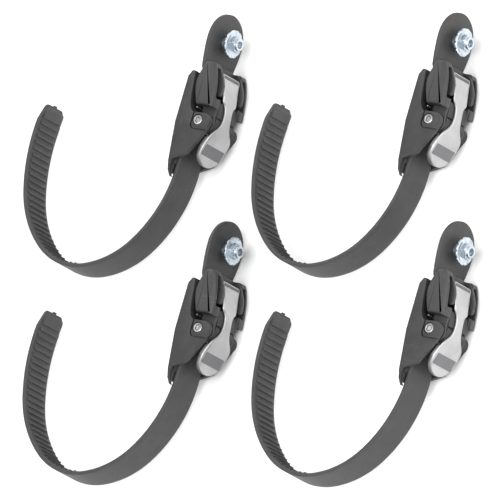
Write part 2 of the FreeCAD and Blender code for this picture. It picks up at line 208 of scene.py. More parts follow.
# brushed metal: very long noise along y, plus soft clouding
def makeBrushing():
    group, inward, outward = newGroup("brushing", [("Along", "NodeSocketFloat", 60.0)],
                                      [("Streaks", "NodeSocketFloat"), ("Cloud", "NodeSocketFloat")])
    coordinate = group.nodes.new("ShaderNodeTexCoord")
    stretch = group.nodes.new("ShaderNodeCombineXYZ")
    stretch.inputs["X"].default_value = 900.0
    stretch.inputs["Z"].default_value = 2600.0
    group.links.new(inward.outputs["Along"], stretch.inputs["Y"])
    scaled = group.nodes.new("ShaderNodeVectorMath")
    scaled.operation = "MULTIPLY"
    group.links.new(coordinate.outputs["Object"], scaled.inputs[0])
    group.links.new(stretch.outputs["Vector"], scaled.inputs[1])
    group.links.new(noiseNode(group, scaled.outputs["Vector"], 1.0, 4.0, 0.65), outward.inputs["Streaks"])
    cloud = noiseNode(group, coordinate.outputs["Object"], 70.0, 3.0)
    group.links.new(rampNode(group, cloud, 0.3, 0.7), outward.inputs["Cloud"])
    return group


# zinc crystals: small cells with their own tone
def makeSpangle():
    group, inward, outward = newGroup("spangle", [("Cell Size", "NodeSocketFloat", 700.0)],
                                      [("Tone", "NodeSocketFloat"), ("Cloud", "NodeSocketFloat")])
    place = objectPlace(group)
    cells = group.nodes.new("ShaderNodeTexVoronoi")
    group.links.new(place, cells.inputs["Vector"])
    group.links.new(inward.outputs["Cell Size"], cells.inputs["Scale"])
    separate = group.nodes.new("ShaderNodeSeparateColor")
    group.links.new(cells.outputs["Color"], separate.inputs["Color"])
    group.links.new(separate.outputs["Red"], outward.inputs["Tone"])
    group.links.new(rampNode(group, noiseNode(group, place, 220.0, 4.0), 0.3, 0.7), outward.inputs["Cloud"])
    return group


mouldSkin = makeMouldSkin()
scuffs = makeScuffs()
brushing = makeBrushing()
spangle = makeSpangle()
print("shader groups made")


def newMaterial(name):
    material = bpy.data.materials.new(name)
    material.use_nodes = True
    tree = material.node_tree
    shader = tree.nodes["Principled BSDF"]
    return material, tree, shader


def useGroup(tree, group, **values):
    node = tree.nodes.new("ShaderNodeGroup")
    node.node_tree = group
    for label, value in values.items():
        node.inputs[label.replace("_", " ")].default_value = value
    return node


def blendColours(tree, mask, first, second):
    node = tree.nodes.new("ShaderNodeMix")
    node.data_type = "RGBA"
    tree.links.new(mask, node.inputs["Factor"])
    for label, value in (("A", first), ("B", second)):
        socket = [s for s in node.inputs if s.name == label and s.type == "RGBA"][0]
        if isinstance(value, tuple):
            socket.default_value = value + (1.0,)
        else:
            tree.links.new(value, socket)
    return [s for s in node.outputs if s.type == "RGBA"][0]


def blendValues(tree, mask, first, second):
    node = tree.nodes.new("ShaderNodeMapRange")
    tree.links.new(mask, node.inputs["Value"])
    node.inputs["To Min"].default_value = first
    node.inputs["To Max"].default_value = second
    return node.outputs["Result"]


def bumpInto(tree, shader, height, strength, depth):
    node = tree.nodes.new("ShaderNodeBump")
    node.inputs["Strength"].default_value = strength
    node.inputs["Distance"].default_value = depth
    tree.links.new(height, node.inputs["Height"])
    tree.links.new(node.outputs["Normal"], shader.inputs["Normal"])


plasticValues = {
    "strapPlastic": {"base": (0.031, 0.0305, 0.031), "light": (0.040, 0.0395, 0.040),
                     "scuff": (0.11, 0.11, 0.11),
                     "rough": (0.50, 0.64), "fineness": 2400.0, "bump": 0.20, "scuffs": 0.35},
    "bucklePlastic": {"base": (0.021, 0.0205, 0.021), "light": (0.029, 0.0285, 0.029),
                      "scuff": (0.10, 0.10, 0.10),
                      "rough": (0.48, 0.60), "fineness": 2000.0, "bump": 0.25, "scuffs": 0.4},
    "handlePlastic": {"base": (0.029, 0.028, 0.029), "light": (0.037, 0.036, 0.037),
                      "scuff": (0.12, 0.11, 0.12),
                      "rough": (0.42, 0.54), "fineness": 2200.0, "bump": 0.16, "scuffs": 0.45},
}


def makePlastic(name, values):
    material, tree, shader = newMaterial(name)
    skin = useGroup(tree, mouldSkin, Fineness=values["fineness"], Mottle_Size=85.0)
    marks = useGroup(tree, scuffs, Amount=values["scuffs"])
    mottled = blendColours(tree, skin.outputs["Mottle"], values["base"], values["light"])
    worn = blendColours(tree, marks.outputs["Mask"], mottled, values["scuff"])
    tree.links.new(worn, shader.inputs["Base Color"])
    tree.links.new(blendValues(tree, skin.outputs["Pits"], *values["rough"]), shader.inputs["Roughness"])
    shader.inputs["Specular IOR Level"].default_value = 0.45
    bumpInto(tree, shader, skin.outputs["Height"], values["bump"], 0.0001)
    return material


def makeLeverSteel():
    material, tree, shader = newMaterial("leverSteel")
    brush = useGroup(tree, brushing, Along=55.0)
    marks = useGroup(tree, scuffs, Amount=0.25)
    tone = blendColours(tree, brush.outputs["Cloud"], (0.40, 0.40, 0.405), (0.47, 0.47, 0.475))
    streaked = blendColours(tree, marks.outputs["Mask"], tone, (0.33, 0.33, 0.34))
    # painted shade: the groove across the lever's head is darkened in the colour, read from a point attribute
    # set on the lever's mesh
    grooveShade = tree.nodes.new("ShaderNodeAttribute")
    grooveShade.attribute_name = "grooveShade"
    grooveShaded = blendColours(tree, grooveShade.outputs["Fac"], streaked, (0.13, 0.13, 0.132))
    tree.links.new(grooveShaded, shader.inputs["Base Color"])
    shader.inputs["Metallic"].default_value = 0.85
    tree.links.new(blendValues(tree, brush.outputs["Streaks"], 0.30, 0.50), shader.inputs["Roughness"])
    bumpInto(tree, shader, brush.outputs["Streaks"], 0.12, 0.00005)
    return material


def makeZinc(name, dark, bright, rough):
    material, tree, shader = newMaterial(name)
    plate = useGroup(tree, spangle, Cell_Size=900.0)
    marks = useGroup(tree, scuffs, Amount=0.3)
    tone = blendColours(tree, plate.outputs["Cloud"], dark, bright)
    worn = blendColours(tree, marks.outputs["Mask"], tone, tuple(0.7 * v for v in dark))
    tree.links.new(worn, shader.inputs["Base Color"])
    shader.inputs["Metallic"].default_value = 0.95
    tree.links.new(blendValues(tree, plate.outputs["Tone"], rough, rough + 0.12), shader.inputs["Roughness"])
    bumpInto(tree, shader, plate.outputs["Cloud"], 0.15, 0.00005)
    return material


# printed band: fine cross lines in a matt dark ink
def makeBandPrint():
    material, tree, shader = newMaterial("bandPrint")
    place = objectPlace(tree)
    wave = tree.nodes.new("ShaderNodeTexWave")
    wave.bands_direction = "Y"
    wave.inputs["Scale"].default_value = 420.0
    wave.inputs["Distortion"].default_value = 1.2
    wave.inputs["Detail"].default_value = 2.0
    tree.links.new(place, wave.inputs["Vector"])
    skin = useGroup(tree, mouldSkin, Fineness=2600.0, Mottle_Size=260.0)
    lines = blendColours(tree, wave.outputs["Fac"], (0.085, 0.085, 0.088), (0.16, 0.16, 0.165))
    toned = blendColours(tree, skin.outputs["Mottle"], lines, (0.13, 0.13, 0.135))
    tree.links.new(toned, shader.inputs["Base Color"])
    tree.links.new(blendValues(tree, skin.outputs["Pits"], 0.45, 0.62), shader.inputs["Roughness"])
    bumpInto(tree, shader, wave.outputs["Fac"], 0.3, 0.00006)
    return material


finishes = {
    "strap_plastic": makePlastic("strapPlastic", plasticValues["strapPlastic"]),
    "buckle_plastic": makePlastic("bucklePlastic", plasticValues["bucklePlastic"]),
    "handle_plastic": makePlastic("handlePlastic", plasticValues["handlePlastic"]),
    "lever_steel": makeLeverSteel(),
    "band_print": makeBandPrint(),
    "zinc_steel": makeZinc("zincPlate", (0.42, 0.47, 0.52), (0.62, 0.68, 0.74), 0.26),
    "screw_steel": makeZinc("screwSteel", (0.33, 0.33, 0.34), (0.46, 0.46, 0.47), 0.30),
    "pawl_steel": makeZinc("pawlSteel", (0.35, 0.35, 0.36), (0.48, 0.48, 0.49), 0.36),
    "spring_steel": makeZinc("springSteel", (0.55, 0.55, 0.56), (0.75, 0.75, 0.76), 0.22),
}
print("materials made")


# mesh helpers
# faces of a grid of rows by columns, the columns closing on themselves; the ends may be capped
def ringFaces(rows, columns, capStart=True, capEnd=True, closeRows=False):
    lastRow = rows if closeRows else rows - 1
    row, column = np.meshgrid(np.arange(lastRow), np.arange(columns), indexing="ij")
    nextRow = (row + 1) % rows
    nextColumn = (column + 1) % columns
    quads = np.stack([row * columns + column, row * columns + nextColumn,
                      nextRow * columns + nextColumn, nextRow * columns + column], axis=-1)
    faces = quads.reshape(-1, 4).tolist()
    if capStart and not closeRows:
        faces.append(list(range(columns))[::-1])
    if capEnd and not closeRows:
        faces.append([(rows - 1) * columns + i for i in range(columns)])
    return faces


mergeDistance = 1e-7


def addPiece(name, shapes, number, body, slotName, replaced, sharp=32.0, shade=None):
    vertices = []
    faces = []
    for points, polygons in shapes:
        start = sum(len(v) for v in vertices)
        vertices.append(points)
        faces.extend([[i + start for i in polygon] for polygon in polygons])
    place = np.concatenate(vertices) * mm + origins[number]
    mesh = bpy.data.meshes.new(name)
    mesh.from_pydata(place.tolist(), [], faces)
    if shade is not None:
        # the shade values go into a point attribute; on the lever they are painted shade for its groove
        mesh.attributes.new("grooveShade", "FLOAT", "POINT").data.foreach_set("value", shade)
    work = bmesh.new()
    work.from_mesh(mesh)
    bmesh.ops.remove_doubles(work, verts=work.verts, dist=mergeDistance)
    bmesh.ops.recalc_face_normals(work, faces=work.faces)
    work.to_mesh(mesh)
    work.free()
    mesh.shade_smooth()
    mesh.set_sharp_from_angle(angle=math.radians(sharp))
    mesh.materials.append(finishes[slotName])
    piece = bpy.data.objects.new(name, mesh)
    bpy.context.scene.collection.objects.link(piece)
    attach(piece, body)
    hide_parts(*replaced)


# closed outline in a plane, resampled evenly and rounded by averaging each point with its neighbours
def roundOutline(corners, count, passes):
    loop = np.array(corners + corners[:1], float)
    steps = np.hypot(*np.diff(loop, axis=0).T)
    along = np.concatenate([[0], np.cumsum(steps)])
    where = np.linspace(0, along[-1], count, endpoint=False)
    outline = np.stack([np.interp(where, along, loop[:, 0]), np.interp(where, along, loop[:, 1])], axis=1)
    for _ in range(passes):
        outline = (np.roll(outline, 1, 0) + 2 * outline + np.roll(outline, -1, 0)) / 4
    return outline


# unit normals of a closed outline that runs anticlockwise, pointing outwards
def outlineNormals(outline):
    run = np.roll(outline, -1, 0) - np.roll(outline, 1, 0)
    run /= np.maximum(np.hypot(run[:, 0], run[:, 1]), 1e-9)[:, None]
    return np.stack([run[:, 1], -run[:, 0]], axis=1)


def anticlockwise(outline):
    x, y = outline[:, 0], outline[:, 1]
    area = np.sum(x * np.roll(y, -1) - np.roll(x, -1) * y)
    return outline if area > 0 else outline[::-1]


# plate between two heights with rounded rims: each ring is the outline moved in by
# radius * (1 - cos) while the height moves by radius * sin
def pillowPlate(outline, low, high, rimLow, rimHigh, steps=5, shift=None):
    outline = anticlockwise(outline)
    normals = outlineNormals(outline)
    swing = np.linspace(0, math.pi / 2, steps)
    inset = np.concatenate([rimLow * (1 - np.cos(swing[::-1])), rimHigh * (1 - np.cos(swing))])
    height = np.concatenate([low + rimLow * (1 - np.sin(swing[::-1])), high - rimHigh * (1 - np.sin(swing))])
    rings = outline[None] - normals[None] * inset[:, None, None]
    if shift is not None:
        rings = shift(rings, height)
    tall = np.broadcast_to(height[:, None, None], rings.shape[:2] + (1,))
    points = np.concatenate([rings, tall], axis=2)
    return points.reshape(-1, 3), ringFaces(len(height), len(outline))


# turned piece: radii is rings by angles, places are the ring positions along the axis
def turned(places, radii, centre, axis):
    count = radii.shape[1]
    angle = np.linspace(0, 2 * math.pi, count, endpoint=False)
    u = radii * np.cos(angle)[None]
    v = radii * np.sin(angle)[None]
    w = np.broadcast_to(np.asarray(places, float)[:, None], radii.shape)
    if axis == "x":
        points = np.stack([centre[0] + w, centre[1] + u, centre[2] + v], axis=-1)
    else:
        points = np.stack([centre[0] + u, centre[1] + v, centre[2] + w], axis=-1)
    return points.reshape(-1, 3), ringFaces(len(places), count, False, False, closeRows=True)


def hexRadius(angle, flats):
    part = (angle + math.pi / 6) % (math.pi / 3) - math.pi / 6
    return flats / 2 / np.cos(part)


def mirrored(shape):
    points, faces = shape
    flipped = points * np.array([1.0, 1.0, -1.0])
    return flipped, [face[::-1] for face in faces]


# tube of one radius along a line of points, its rings square to the line
def tubeAlong(line, radius, sides=12):
    run = np.gradient(line, axis=0)
    run /= np.linalg.norm(run, axis=1)[:, None]
    helper = np.where(np.abs(run[:, 2:3]) > 0.9, np.array([[1.0, 0.0, 0.0]]), np.array([[0.0, 0.0, 1.0]]))
    side = np.cross(run, helper)
    side /= np.linalg.norm(side, axis=1)[:, None]
    other = np.cross(run, side)
    angle = np.linspace(0, 2 * math.pi, sides, endpoint=False)
    ring = side[:, None] * np.cos(angle)[None, :, None] + other[:, None] * np.sin(angle)[None, :, None]
    points = line[:, None] + ring * radius
    return points.reshape(-1, 3), ringFaces(len(line), sides)


# moulded strap
strapValues = {
    "curveStart": -30.0, "arcs": [(90, 38), (65, 35), (48, 54), (75, 35), (130, 28)],
    "halfWidth": 12.5, "thick": 2.5, "rim": 0.55,
    "domeY": 60.8, "domeRadius": 19.3, "waistY": 41.0, "waistHalf": 16.4, "neckY": 34.6,
    "pitch": 4.6, "teeth": 29, "toothHeight": 1.4, "toothHalf": 9.9, "plainTip": 10.0,
    "tipTaper": 12.0, "tipHalf": 9.75, "tipCorner": 2.4, "nibTilt": -11,
}


# point at a distance along the loop and set back inwards: a chain of arcs that all turn the same way,
# found from each arc's centre and the angle swept on it
def loopPoint(distance, inward):
    radii = np.array([a[0] for a in strapValues["arcs"]], float)
    turns = np.radians([a[1] for a in strapValues["arcs"]])
    lengths = radii * turns
    starts = np.concatenate([[0], np.cumsum(lengths)])
    headings = -math.pi / 2 - np.concatenate([[0], np.cumsum(turns)])
    joins = [(0.0, strapValues["curveStart"])]
    for radius, a, b in zip(radii, headings[:-1], headings[1:]):
        x, y = joins[-1]
        joins.append((x + radius * (math.sin(a) - math.sin(b)), y - radius * (math.cos(a) - math.cos(b))))
    joins = np.array(joins)
    which = np.clip(np.searchsorted(starts, distance, side="right") - 1, 0, len(radii) - 1)
    radius = radii[which]
    a = headings[which]
    b = a - np.maximum(distance - starts[which], 0) / radius
    x = joins[which, 0] + radius * (np.sin(a) - np.sin(b)) + inward * np.sin(b)
    y = joins[which, 1] - radius * (np.cos(a) - np.cos(b)) - inward * np.cos(b)
    straight = distance < 0
    x = np.where(straight, -inward, x)
    y = np.where(straight, strapValues["curveStart"] - distance, y)
    return np.stack([x, y], axis=-1)


def loopLength():
    return sum(radius * math.radians(turn) for radius, turn in strapValues["arcs"])


def smoothStep(value):
    value = np.clip(value, 0, 1)
    return value * value * (3 - 2 * value)


# half width along the strap: round dome, waist, straight band and narrowing tip
def strapHalf(distance):
    v = strapValues
    y = v["curveStart"] - distance
    neckPart = smoothStep((y - v["neckY"]) / (v["waistY"] - v["neckY"]))
    neck = v["halfWidth"] + (v["waistHalf"] - v["halfWidth"]) * neckPart
    shoulder = v["waistHalf"] + (v["domeRadius"] - v["waistHalf"]) * np.sin(
        np.clip((y - v["waistY"]) / (v["domeY"] - v["waistY"]), 0, 1) * math.pi / 2)
    dome = np.sqrt(np.maximum(v["domeRadius"] ** 2 - np.maximum(y - v["domeY"], 0) ** 2, 0.0004))
    half = np.where(y > v["domeY"], dome, np.where(y > v["waistY"], shoulder, neck))
    end = (distance - (loopLength() - v["tipTaper"])) / v["tipTaper"]
    taper = v["halfWidth"] - (v["halfWidth"] - v["tipHalf"]) * np.clip(end, 0, 0.8) / 0.8
    corner = v["tipCorner"] * np.clip((end - 0.8) / 0.2, 0, 1) ** 2
    return np.where(end > 0, taper - corner, half)


# height of the saw teeth: a steep side facing the buckle, a short gullet, then a long ramp
def toothRise(distance):
    v = strapValues
    top = loopLength() - v["plainTip"]
    back = top - distance
    phase = np.mod(back, v["pitch"])
    ramp = np.interp(phase, [0.0, 0.3, 1.5, v["pitch"]], [1.0, 0.06, 0.06, 1.0])
    runOut = np.interp(distance, [top, loopLength() - 3, loopLength() - 1.5], [1.0, 0.9, 0.0])
    rise = np.where(back < 0, runOut, ramp)
    return np.where(back > v["teeth"] * v["pitch"], 0.0, rise) * v["toothHeight"]


def strapShape():
    v = strapValues
    total = loopLength()
    domeSwing = np.linspace(0.01, math.pi / 2, 40)
    domeStations = v["curveStart"] - (v["domeY"] + v["domeRadius"] * np.cos(domeSwing))
    top = total - v["plainTip"]
    plain = np.linspace(v["curveStart"] - v["domeY"] + 0.4, top - v["teeth"] * v["pitch"] - 1, 180)
    withinTooth = np.array([0.0, 0.28, 1.5, 2.5, 3.6, 4.58])[None]
    steps = top - np.arange(v["teeth"])[:, None] * v["pitch"] - withinTooth
    tip = np.linspace(top + 0.5, total, 26)
    stations = np.unique(np.concatenate([domeStations, plain, steps.ravel(), tip]).round(4))
    half = strapHalf(stations)
    rise = toothRise(stations)
    rim = np.minimum(v["rim"], half)[:, None]
    swing = np.linspace(0, math.pi / 2, 5)
    flat = (half[:, None] - rim)
    # across the outer face, round its rim, down the side, round the inner rim, across the teeth and back
    faceSteps = np.linspace(-1, 1, 9)[None]
    outerA = flat * faceSteps
    outerD = np.zeros_like(outerA)
    rimA = flat + rim * np.sin(swing)[None]
    rimD = rim * (1 - np.cos(swing))[None]
    lowA = flat + rim * np.cos(swing)[None]
    lowD = v["thick"] - rim + rim * np.sin(swing)[None]
    lanes = np.array([1.012, 1.0, 0.66, 0.33, 0.0, -0.33, -0.66, -1.0, -1.012]) * v["toothHalf"]
    teethA = np.clip(np.broadcast_to(lanes, (len(stations), len(lanes))), -flat, flat)
    onTeeth = (np.abs(lanes) <= v["toothHalf"])[None]
    teethD = v["thick"] + np.where(onTeeth, rise[:, None], 0.0)
    across = np.concatenate([outerA[:, :-1], rimA, lowA, teethA, -lowA[:, ::-1], -rimA[:, ::-1]], axis=1)
    depth = np.concatenate([outerD[:, :-1], rimD, lowD, teethD, lowD[:, ::-1], rimD[:, ::-1]], axis=1)
    flatPlace = loopPoint(np.broadcast_to(stations[:, None], depth.shape), depth)
    points = np.concatenate([flatPlace, across[..., None]], axis=2)
    return points.reshape(-1, 3), ringFaces(len(stations), across.shape[1])


# moulding nib on the tip: a small rounded block
def nibShape():
    end = loopPoint(np.array([loopLength()]), strapValues["thick"] / 2)[0]
    outline = roundOutline([(-0.8, -0.4), (0.8, -0.4), (0.8, 1.2), (-0.8, 1.2)], 40, 3)
    tilt = math.radians(strapValues["nibTilt"])
    turn = np.array([[math.cos(tilt), math.sin(tilt)], [-math.sin(tilt), math.cos(tilt)]])
    return pillowPlate(outline @ turn + end, -1.5, 1.5, 0.3, 0.3)


strapParts = [strapShape(), nibShape()]
for number in straps:
    addPiece("strapBand%d" % number, strapParts, number, "strap_%d" % number, "strap_plastic",
             ["strap_%d_strap_band" % number], sharp=28.0)
print("straps made")


# handle: two wings with rounded outer faces, inner arms, webs and an end bar
handleValues = {
    "wing": [(4.1, 12.3), (0.8, 20.0), (-0.6, 25.0), (-0.9, 29.0), (0.1, 34.0), (2.1, 40.3), (3.5, 42.9),
             (9.6, 42.9), (11.4, 39.5), (13.2, 34.5), (14.6, 29.0), (15.8, 22.5), (16.6, 16.5),
             (17.0, 11.7), (13.2, 12.5), (7.0, 12.5)],
    "spine": [(4.1, 12.4), (0.9, 20.0), (-0.5, 25.0), (-0.8, 29.0), (0.2, 34.0), (2.2, 40.2),
              (3.6, 42.8), (9.6, 42.8), (11.3, 39.4), (10.2, 39.2), (9.0, 37.6), (9.0, 20.7),
              (16.4, 18.6), (17.0, 11.8), (13.2, 12.6), (7.0, 12.6)],
    "plateLow": 16.95, "wingLow": 13.95, "wingHigh": 20.15, "crown": 1.4,
    "armLower": [(17.35, 10.8), (17.5, 18.6), (5.5, 18.6), (6.4, 2.0)],
    "armRadius": 7.95, "armSweep": (-75.0, 25.0),
    "armUpper": [(5.5, 18.3), (17.5, 18.3), (17.6, 18.8), (13.5, 19.7), (12.9, 21.4), (13.9, 22.5),
                 (15.6, 20.9), (17.1, 21.3), (18.4, 22.8), (17.7, 28.6), (16.1, 32.6), (12.6, 38.6),
                 (9.1, 42.5), (3.5, 42.4), (3.5, 38.0), (5.3, 25.0)],
    "armLow": 10.75, "armHigh": 12.65, "hornHigh": 13.15,
    "bar": [(3.7, 38.75), (6.7, 38.75), (6.7, 41.9), (5.9, 42.6), (3.7, 42.6)],
    "trunnion": (5.8, -1.9, 2.25),
}


# the wing's front rises towards the middle of the buckle, more for points further forward
def crownShift(rings, height):
    v = handleValues
    away = np.clip((v["wingHigh"] - height) / (v["wingHigh"] - v["wingLow"]), 0, 1)
    lift = v["crown"] * np.sqrt(away)
    forward = np.clip((rings[..., 0] - 6) / 8, 0, 1)
    moved = rings.copy()
    moved[..., 0] += lift[:, None] * forward
    return moved


# points round a centre, evenly spaced in angle
def circlePoints(x, y, radius, first, last, count):
    angle = np.radians(np.linspace(first, last, count))
    return np.stack([x + radius * np.cos(angle), y + radius * np.sin(angle)], axis=1)


# outer plate and arm with a slot between them, joined by a spine along the back and a block at the bottom
def handleShapes():
    v = handleValues
    wing = pillowPlate(roundOutline(v["wing"], 260, 12), v["plateLow"], v["wingHigh"], 0.35, 1.9, 9,
                       crownShift)
    spine = pillowPlate(roundOutline(v["spine"], 240, 4), v["armHigh"] - 0.2, v["plateLow"] + 0.3, 0.1, 0.1,
                        3, crownShift)
    front = circlePoints(pivotPlace["x"], pivotPlace["y"], v["armRadius"], *v["armSweep"], 12)
    lowerOutline = roundOutline(front.tolist() + v["armLower"], 160, 3)
    lower = pillowPlate(lowerOutline, v["armLow"], v["armHigh"], 0.3, 0.3)
    upper = pillowPlate(roundOutline(v["armUpper"], 320, 5), v["armLow"], v["hornHigh"], 0.35, 0.35)
    barReach = v["wingLow"] + 0.3
    bar = pillowPlate(roundOutline(v["bar"], 100, 3), -barReach, barReach, 0.1, 0.1, 3)
    x, y, r = v["trunnion"]
    bossOutline = circlePoints(x, y, r, 0, 352.5, 48)
    boss = pillowPlate(bossOutline, v["armLow"] + 0.02, v["armHigh"] - 0.02, 0.2, 0.2, 4)
    sides = [wing, spine, lower, upper, boss]
    return sides + [mirrored(shape) for shape in sides] + [bar]


handleParts = handleShapes()
for number in straps:
    addPiece("handle%d" % number, handleParts, number, "handle_%d" % number, "handle_plastic",
             ["strap_%d_handle" % number], sharp=38.0)
print("handles made")


# steel release lever: a bent sheet with a turned-down lip and rolled rims
leverValues = {
    "side": [(12.9, 38.0), (16.6, 25.0), (18.9, 14.0), (19.6, 3.0), (18.4, -6.0), (16.2, -12.5),
             (13.8, -19.5), (12.7, -25.8)],
    "lipX": 9.2, "bend": 1.3, "thick": 1.5, "rollWidth": 1.6, "rollDrop": 0.5,
    "head": [(12.0, 4.0), (15.2, 4.4), (17.0, 5.4), (18.4, 7.0), (19.8, 7.8), (27.0, 8.6), (36.0, 10.15),
             (37.6, 10.15), (38.0, 9.8)],
    "neck": [(-13.5, 12.6), (-8.5, 12.4), (-4.5, 11.1), (0.0, 7.1), (6.0, 4.4), (12.0, 4.0)],
    "paddleHalf": 12.6, "paddleEnd": -25.7, "paddleTurn": -13.5, "roundness": 2.2,
    "rimTop": -6.6, "rimWidth": 1.15, "rimDepth": 3.6,
    "grooveY": 36.0, "grooveHalf": 1.1, "grooveDepth": 0.35, "grooveEdge": 0.9,
    "edgeRound": 0.3,
}


# smooth curve x(y) through the side points: a natural cubic spline, its second slopes from one linear solve
def cubicThrough(places, values, where):
    n = len(places)
    gap = np.diff(places)
    matrix = np.zeros((n, n))
    right = np.zeros(n)
    matrix[0, 0] = matrix[-1, -1] = 1
    inner = np.arange(1, n - 1)
    matrix[inner, inner - 1] = gap[:-1]
    matrix[inner, inner] = 2 * (gap[:-1] + gap[1:])
    matrix[inner, inner + 1] = gap[1:]
    right[1:-1] = 6 * (np.diff(values)[1:] / gap[1:] - np.diff(values)[:-1] / gap[:-1])
    second = np.linalg.solve(matrix, right)
    part = np.clip(np.searchsorted(places, where, side="right") - 1, 0, n - 2)
    h = gap[part]
    a = (places[part + 1] - where) / h
    b = 1 - a
    return (a * values[part] + b * values[part + 1]
            + ((a ** 3 - a) * second[part] + (b ** 3 - b) * second[part + 1]) * h ** 2 / 6)


def leverX(y):
    side = np.array(leverValues["side"])[::-1]
    return cubicThrough(side[:, 1], side[:, 0], y)


# half width of the lever: straight runs down the head, a cubic from the neck out to the paddle,
# and a blunt round end where the half width is the widest times the root of 1 - reach to the fourth power
def leverHalf(y):
    v = leverValues
    head = np.array(v["head"])
    neck = np.array(v["neck"])
    top = np.interp(y, head[:, 0], head[:, 1])
    flare = cubicThrough(neck[:, 0], neck[:, 1], np.clip(y, v["paddleTurn"], 12.0))
    reach = np.clip((y - v["paddleTurn"]) / (v["paddleEnd"] - v["paddleTurn"]), 0, 1)
    end = v["paddleHalf"] * np.sqrt(np.maximum(1 - reach ** v["roundness"], 0.0))
    return np.where(y < v["paddleTurn"], np.maximum(end, 0.05), np.where(y > 12.0, top, flare))


# line of the sheet's outer face from the lip's lower edge, round the bend and down to the paddle's end
def leverLine():
    v = leverValues
    headX = v["side"][0][0]
    headY = v["side"][0][1]
    lip = np.stack([np.linspace(v["lipX"], headX - v["bend"], 8), np.full(8, headY)], axis=1)
    swing = np.linspace(0, math.pi / 2, 8)[1:]
    lowY = headY - v["bend"]
    lean = leverX(np.array([lowY]))[0] - headX
    bendX = (headX - v["bend"]) + v["bend"] * np.sin(swing) + lean * swing / (math.pi / 2)
    bend = np.stack([bendX, lowY + v["bend"] * np.cos(swing)], axis=1)
    end = v["paddleTurn"] + (v["paddleEnd"] - v["paddleTurn"]) * np.sin(np.linspace(0, math.pi / 2, 44))
    y = np.concatenate([np.linspace(lowY - 0.2, 34.5, 16), np.linspace(34.0, 20.0, 24),
                        np.linspace(19.6, 11.5, 34), np.linspace(11.0, -13.7, 80), end])
    body = np.stack([leverX(y), y], axis=1)
    return np.concatenate([lip, bend, body])


def leverShape():
    v = leverValues
    line = leverLine()
    run = np.gradient(line, axis=0)
    run /= np.hypot(run[:, 0], run[:, 1])[:, None]
    inward = np.stack([run[:, 1], -run[:, 0]], axis=1)
    half = leverHalf(line[:, 1])
    spread = np.sin(np.linspace(-1, 1, 25) * math.pi / 2)
    across = half[:, None] * spread[None]
    edge = np.clip((np.abs(across) - (half[:, None] - v["rollWidth"])) / v["rollWidth"], 0, 1)
    drop = v["rollDrop"] * edge ** 2 * np.clip(half / 6, 0, 1)[:, None]
    rounded = v["edgeRound"] * np.clip((edge - 0.75) / 0.25, 0, 1) ** 2
    fromGroove = np.abs(line[:, 1] - v["grooveY"])[:, None]
    clearOfEdge = np.abs(across) < half[:, None] - v["grooveEdge"]
    belowBend = (np.arange(len(line)) > 8)[:, None]
    inGroove = smoothStep((v["grooveHalf"] + 0.15 - fromGroove) / 0.3) * clearOfEdge * belowBend
    outerDepth = drop + rounded + v["grooveDepth"] * inGroove
    innerDepth = v["thick"] + drop * 0.2 - rounded
    # the paddle's rim is turned in along its sides and round its end
    nearSide = np.abs(across) > half[:, None] - v["rimWidth"]
    nearEnd = (line[:, 1] < v["paddleEnd"] + v["rimWidth"])[:, None]
    turnedIn = smoothStep((v["rimTop"] - line[:, 1]) / 2.0)[:, None] * (nearSide | nearEnd)
    innerDepth = innerDepth + (v["rimDepth"] - v["thick"]) * turnedIn
    acrossLoop = np.concatenate([across, across[:, ::-1]], axis=1)
    depthLoop = np.concatenate([outerDepth, innerDepth[:, ::-1]], axis=1)
    flatPlace = line[:, None] + inward[:, None] * depthLoop[..., None]
    points = np.concatenate([flatPlace, acrossLoop[..., None]], axis=2)
    # the groove mask is kept as well as painted shade for the lever's colour
    shade = np.concatenate([inGroove, np.zeros_like(across)], axis=1)
    return points.reshape(-1, 3), ringFaces(len(line), acrossLoop.shape[1]), shade.ravel()


bandValues = {"low": -19.35, "high": -11.85, "half": 10.85, "thick": 0.26}


def bandShape():
    v = bandValues
    y = np.linspace(v["high"], v["low"], 24)
    x = leverX(y)
    run = np.gradient(np.stack([x, y], axis=1), axis=0)
    run /= np.hypot(run[:, 0], run[:, 1])[:, None]
    outward = np.stack([-run[:, 1], run[:, 0]], axis=1)
    half = np.minimum(v["half"], leverHalf(y) - 0.9)
    spread = np.linspace(-1, 1, 15)
    across = half[:, None] * spread[None]
    lift = np.full_like(across, v["thick"])
    lift[:, [0, -1]] = v["thick"] * 0.4
    acrossLoop = np.concatenate([across, across[:, ::-1]], axis=1)
    liftLoop = np.concatenate([lift, np.full_like(across, -0.05)], axis=1)
    flatPlace = np.stack([x, y], axis=1)[:, None] + outward[:, None] * liftLoop[..., None]
    points = np.concatenate([flatPlace, acrossLoop[..., None]], axis=2)
    return points.reshape(-1, 3), ringFaces(len(y), acrossLoop.shape[1])


*leverPart, leverShade = leverShape()
bandPart = bandShape()
for number in straps:
    addPiece("leverPlate%d" % number, [leverPart], number, "release_%d" % number, "lever_steel",
             ["strap_%d_lever_plate" % number], sharp=40.0, shade=leverShade)
    addPiece("gripBand%d" % number, [bandPart], number, "release_%d" % number, "band_print",
             ["strap_%d_grip_band" % number], sharp=40.0)
print("release levers made")


# tongue hardware
hardwareValues = {
    "y": 60.8, "flangeRadius": 9.55, "flangeLow": 5.2, "flangeHigh": 6.8, "sleeve": 4.6,
    "ringOut": 8.0, "ringIn": 6.0, "ringSlope": 0.4, "ringDepth": 0.18,
    "notches": 12, "notchDepth": 0.5, "notchWidth": 0.12,
    "bolt": 3.0, "flats": 10.0, "nutTop": 10.3, "collar": 4.2,
    "collarTop": 11.78, "collarBore": 2.6, "boreFloor": 8.6, "boltEnd": 8.5, "headDepth": 4.0,
    "strapThick": 2.5,
}


